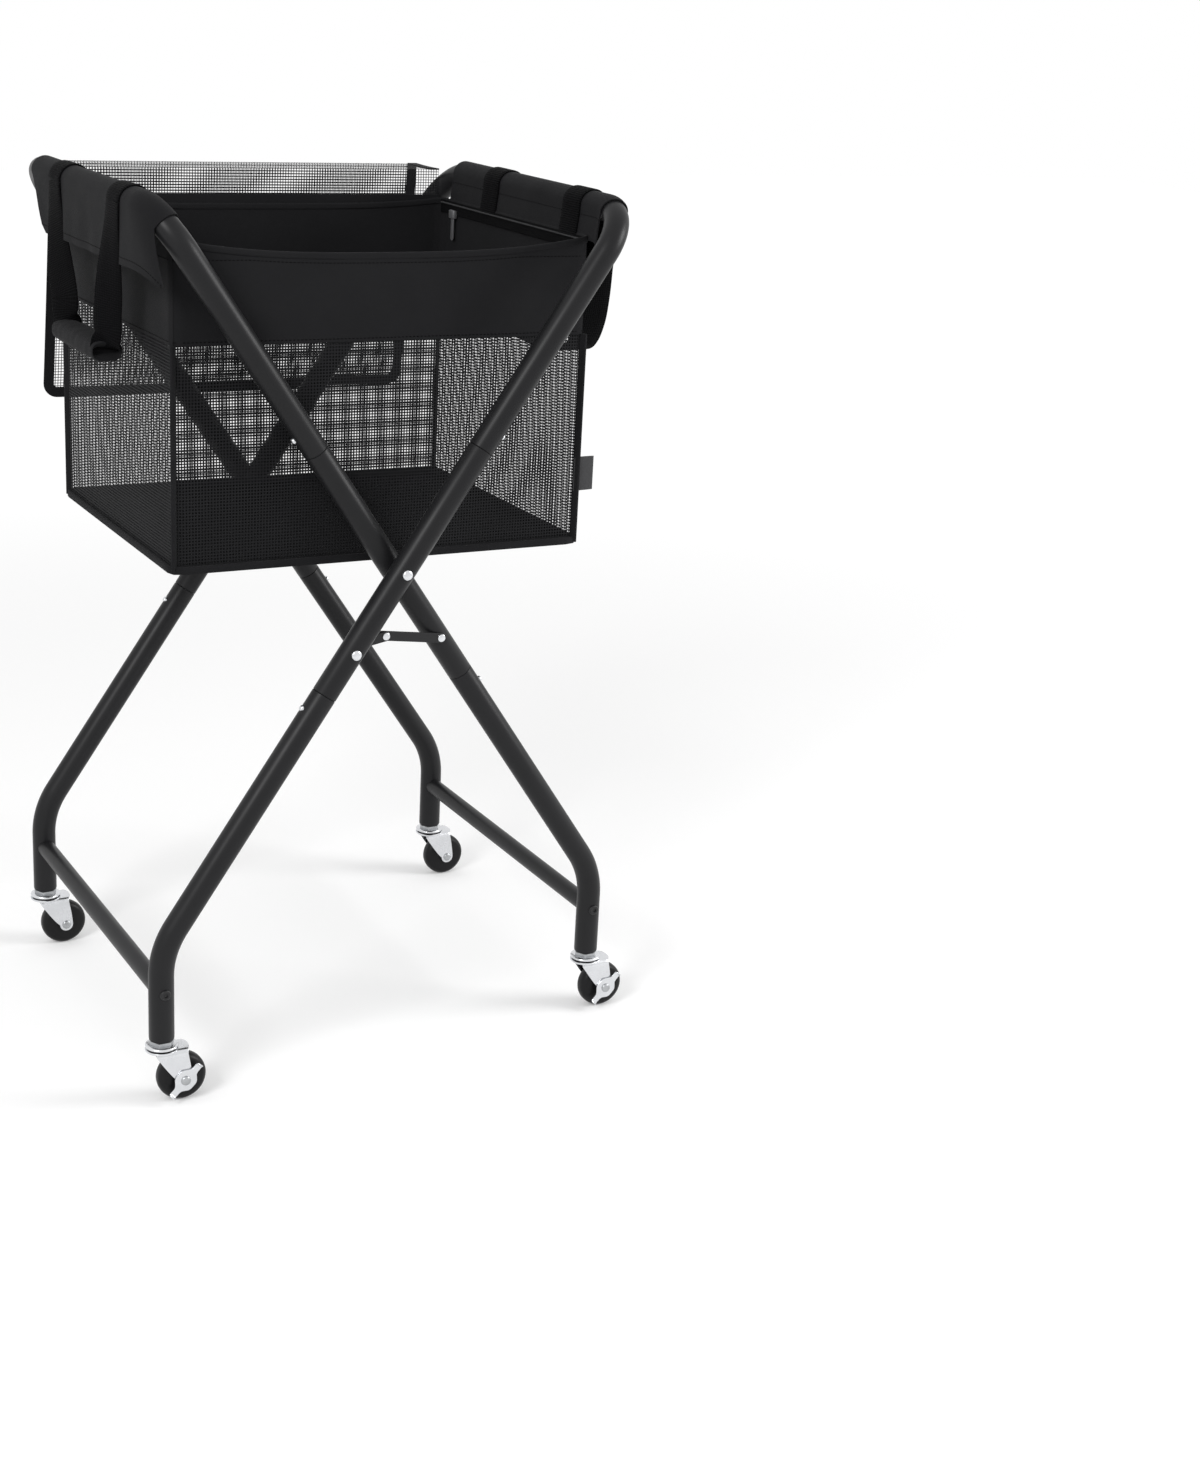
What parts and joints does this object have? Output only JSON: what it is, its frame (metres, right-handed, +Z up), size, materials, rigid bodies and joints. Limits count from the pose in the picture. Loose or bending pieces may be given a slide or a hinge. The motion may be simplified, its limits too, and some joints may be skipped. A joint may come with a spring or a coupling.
{
  "type": "folding ball hopper cart",
  "caption": "Folding wheeled ball hopper: an X frame of dark tubes on swivel casters holds an open mesh ball bag with a zip lid and carry handles.",
  "frame": {"origin": "on the floor, under the middle of the part's bounds", "axes": "+X to the right seen from the front, +Y from the front to the back, +Z up"},
  "size_m": [0.558, 0.4784, 0.8884],
  "materials": {
    "frame_tube": "satin powder coat",
    "bolt": "black oxide",
    "brace": "satin",
    "zinc": "bright zinc plate",
    "wheel": "matte",
    "bag_mesh": "open knitted mesh",
    "oxford": "plain weave",
    "webbing": "ribbed webbing",
    "grip_fabric": "padded plain weave",
    "zip": "matte",
    "label": "blank woven tab"
  },
  "bodies": {
    "frame_b": {"loop_tube_b": "frame_tube", "middle_tube_b_front": "frame_tube", "middle_tube_b_back": "frame_tube", "leg_tube_b_front": "frame_tube", "leg_tube_b_back": "frame_tube", "spreader_b": "frame_tube", "spreader_bolt_b_front": "bolt", "spreader_bolt_b_back": "bolt", "caster_stem_b_front": "zinc", "caster_stem_b_back": "zinc", "pivot_rivet_front": "zinc"},
    "frame_a": {"loop_tube_a": "frame_tube", "middle_tube_a_front": "frame_tube", "middle_tube_a_back": "frame_tube", "leg_tube_a_front": "frame_tube", "leg_tube_a_back": "frame_tube", "spreader_a": "frame_tube", "spreader_bolt_a_front": "bolt", "spreader_bolt_a_back": "bolt", "caster_stem_a_front": "zinc", "caster_stem_a_back": "zinc", "pivot_rivet_back": "zinc"},
    "bag": {"bag_body": "bag_mesh", "side_flap_left": "oxford", "side_flap_right": "oxford", "seam_tab": "label"},
    "handle_left": {"handle_left": "webbing", "handle_grip": "grip_fabric"},
    "handle_right": {"handle_right": "webbing"},
    "lid_riser": {"lid_riser": "bag_mesh"},
    "lid_shelf": {"lid_shelf": "bag_mesh"},
    "lid_panel": {"lid_panel": "bag_mesh"},
    "zip_left": {"zip_slider_left": "zip"},
    "zip_right": {"zip_slider_right": "zip"},
    "brace_short_front": {"brace_short_front": "brace"},
    "brace_long_front": {"brace_long_front": "brace"},
    "brace_short_back": {"brace_short_back": "brace"},
    "brace_long_back": {"brace_long_back": "brace"},
    "fork_b_front": {"caster_fork_b_front": "zinc", "caster_axle_b_front": "zinc"},
    "wheel_b_front": {"caster_wheel_b_front": "wheel"},
    "brake_b_front": {"brake_lever_b_front": "zinc"},
    "fork_b_back": {"caster_fork_b_back": "zinc", "caster_axle_b_back": "zinc"},
    "wheel_b_back": {"caster_wheel_b_back": "wheel"},
    "fork_a_front": {"caster_fork_a_front": "zinc", "caster_axle_a_front": "zinc"},
    "wheel_a_front": {"caster_wheel_a_front": "wheel"},
    "brake_a_front": {"brake_lever_a_front": "zinc"},
    "fork_a_back": {"caster_fork_a_back": "zinc", "caster_axle_a_back": "zinc"},
    "wheel_a_back": {"caster_wheel_a_back": "wheel"},
    "snap_button_b_upper_front": {"snap_button_b_upper_front": "zinc"},
    "snap_button_b_lower_front": {"snap_button_b_lower_front": "zinc"},
    "snap_button_b_upper_back": {"snap_button_b_upper_back": "zinc"},
    "snap_button_b_lower_back": {"snap_button_b_lower_back": "zinc"},
    "snap_button_a_upper_front": {"snap_button_a_upper_front": "zinc"},
    "snap_button_a_lower_front": {"snap_button_a_lower_front": "zinc"},
    "snap_button_a_upper_back": {"snap_button_a_upper_back": "zinc"},
    "snap_button_a_lower_back": {"snap_button_a_lower_back": "zinc"}
  },
  "joints": [
    {"name": "fold", "type": "hinge", "parent": "frame_b", "child": "frame_a", "pos_m": [-0.01375, 0.00165, 0.5275], "axis": [0, 1, 0], "range_deg": [0, 41], "deforming": ["bag_body", "side_flap_left", "side_flap_right", "seam_tab", "handle_left", "handle_grip", "handle_right", "lid_riser", "lid_shelf", "lid_panel", "zip_slider_left", "zip_slider_right"]},
    {"name": "brace_short_front_turn", "type": "hinge", "parent": "frame_b", "child": "brace_short_front", "pos_m": [-0.06595, -0.2191, 0.45078], "axis": [0, 1, 0], "range_deg": [0, 122]},
    {"name": "brace_long_front_turn", "type": "hinge", "parent": "frame_a", "child": "brace_long_front", "pos_m": [0.03846, -0.1896, 0.45078], "axis": [0, 1, 0], "range_deg": [-72.5, 0]},
    {"name": "brace_short_back_turn", "type": "hinge", "parent": "frame_a", "child": "brace_short_back", "pos_m": [0.03846, 0.2224, 0.45078], "axis": [0, -1, 0], "range_deg": [0, 122]},
    {"name": "brace_long_back_turn", "type": "hinge", "parent": "frame_b", "child": "brace_long_back", "pos_m": [-0.06595, 0.1929, 0.45078], "axis": [0, -1, 0], "range_deg": [-72.5, 0]},
    {"name": "swivel_b_front", "type": "hinge", "parent": "frame_b", "child": "fork_b_front", "pos_m": [-0.26177, -0.2191, 0.058], "axis": [0, 0, 1], "continuous": true},
    {"name": "roll_b_front", "type": "hinge", "parent": "fork_b_front", "child": "wheel_b_front", "pos_m": [-0.24217, -0.2191, 0.02518], "axis": [0, 1, 0], "continuous": true},
    {"name": "brake_b_front_turn", "type": "hinge", "parent": "fork_b_front", "child": "brake_b_front", "pos_m": [-0.24217, -0.2191, 0.02518], "axis": [0, 1, 0], "range_deg": [0, 25]},
    {"name": "swivel_b_back", "type": "hinge", "parent": "frame_b", "child": "fork_b_back", "pos_m": [-0.26177, 0.1929, 0.058], "axis": [0, 0, 1], "continuous": true},
    {"name": "roll_b_back", "type": "hinge", "parent": "fork_b_back", "child": "wheel_b_back", "pos_m": [-0.24217, 0.1929, 0.02518], "axis": [0, 1, 0], "continuous": true},
    {"name": "swivel_a_front", "type": "hinge", "parent": "frame_a", "child": "fork_a_front", "pos_m": [0.23427, -0.1896, 0.058], "axis": [0, 0, 1], "continuous": true},
    {"name": "roll_a_front", "type": "hinge", "parent": "fork_a_front", "child": "wheel_a_front", "pos_m": [0.25387, -0.1896, 0.02518], "axis": [0, 1, 0], "continuous": true},
    {"name": "brake_a_front_turn", "type": "hinge", "parent": "fork_a_front", "child": "brake_a_front", "pos_m": [0.25387, -0.1896, 0.02518], "axis": [0, 1, 0], "range_deg": [0, 25]},
    {"name": "swivel_a_back", "type": "hinge", "parent": "frame_a", "child": "fork_a_back", "pos_m": [0.23427, 0.2224, 0.058], "axis": [0, 0, 1], "continuous": true},
    {"name": "roll_a_back", "type": "hinge", "parent": "fork_a_back", "child": "wheel_a_back", "pos_m": [0.25387, 0.2224, 0.02518], "axis": [0, 1, 0], "continuous": true},
    {"name": "snap_button_b_upper_front_press", "type": "slide", "parent": "frame_b", "child": "snap_button_b_upper_front", "axis": [-0.8268, 0, 0.5626], "range_m": [0, 0.003], "stiffness_N_per_m": 800, "springref_m": -0.001},
    {"name": "snap_button_b_lower_front_press", "type": "slide", "parent": "frame_b", "child": "snap_button_b_lower_front", "axis": [0.8268, 0, -0.5626], "range_m": [0, 0.003], "stiffness_N_per_m": 800, "springref_m": -0.001},
    {"name": "snap_button_b_upper_back_press", "type": "slide", "parent": "frame_b", "child": "snap_button_b_upper_back", "axis": [-0.8268, 0, 0.5626], "range_m": [0, 0.003], "stiffness_N_per_m": 800, "springref_m": -0.001},
    {"name": "snap_button_b_lower_back_press", "type": "slide", "parent": "frame_b", "child": "snap_button_b_lower_back", "axis": [0.8268, 0, -0.5626], "range_m": [0, 0.003], "stiffness_N_per_m": 800, "springref_m": -0.001},
    {"name": "snap_button_a_upper_front_press", "type": "slide", "parent": "frame_a", "child": "snap_button_a_upper_front", "axis": [0.8268, 0, 0.5626], "range_m": [0, 0.003], "stiffness_N_per_m": 800, "springref_m": -0.001},
    {"name": "snap_button_a_lower_front_press", "type": "slide", "parent": "frame_a", "child": "snap_button_a_lower_front", "axis": [-0.8268, 0, -0.5626], "range_m": [0, 0.003], "stiffness_N_per_m": 800, "springref_m": -0.001},
    {"name": "snap_button_a_upper_back_press", "type": "slide", "parent": "frame_a", "child": "snap_button_a_upper_back", "axis": [0.8268, 0, 0.5626], "range_m": [0, 0.003], "stiffness_N_per_m": 800, "springref_m": -0.001},
    {"name": "snap_button_a_lower_back_press", "type": "slide", "parent": "frame_a", "child": "snap_button_a_lower_back", "axis": [-0.8268, 0, -0.5626], "range_m": [0, 0.003], "stiffness_N_per_m": 800, "springref_m": -0.001},
    {"name": "bag_lift", "type": "slide", "parent": "frame_b", "child": "bag", "axis": [0, 0, 1], "range_m": [0, 0.4]},
    {"name": "lid_riser_turn", "type": "hinge", "parent": "bag", "child": "lid_riser", "pos_m": [-0.01375, 0.17625, 0.8364], "axis": [1, 0, 0], "range_deg": [0, 90]},
    {"name": "lid_shelf_turn", "type": "hinge", "parent": "lid_riser", "child": "lid_shelf", "pos_m": [-0.01375, 0.17625, 0.875], "axis": [1, 0, 0], "range_deg": [0, 90]},
    {"name": "lid_panel_turn", "type": "hinge", "parent": "lid_shelf", "child": "lid_panel", "pos_m": [-0.01375, 0.23795, 0.875], "axis": [1, 0, 0], "range_deg": [0, 90]},
    {"name": "handle_left_swing", "type": "hinge", "parent": "bag", "child": "handle_left", "pos_m": [-0.26405, 0.00165, 0.8714], "axis": [0, 1, 0], "range_deg": [0, 150]},
    {"name": "handle_right_swing", "type": "hinge", "parent": "bag", "child": "handle_right", "pos_m": [0.23655, 0.00165, 0.8714], "axis": [0, -1, 0], "range_deg": [0, 150]},
    {"name": "zip_left_slide", "type": "slide", "parent": "bag", "child": "zip_left", "axis": [0, -1, 0], "range_m": [0, 0.265]},
    {"name": "zip_right_slide", "type": "slide", "parent": "bag", "child": "zip_right", "axis": [0, -1, 0], "range_m": [0, 0.265]}
  ],
  "couplings": [
    {"joint": "brace_short_front_turn", "follows": "fold", "ratio": 2.97},
    {"joint": "brace_long_front_turn", "follows": "fold", "ratio": -1.765},
    {"joint": "brace_short_back_turn", "follows": "fold", "ratio": 2.97},
    {"joint": "brace_long_back_turn", "follows": "fold", "ratio": -1.765},
    {"joint": "lid_shelf_turn", "follows": "lid_riser_turn", "ratio": 1},
    {"joint": "lid_panel_turn", "follows": "lid_riser_turn", "ratio": 1}
  ]
}
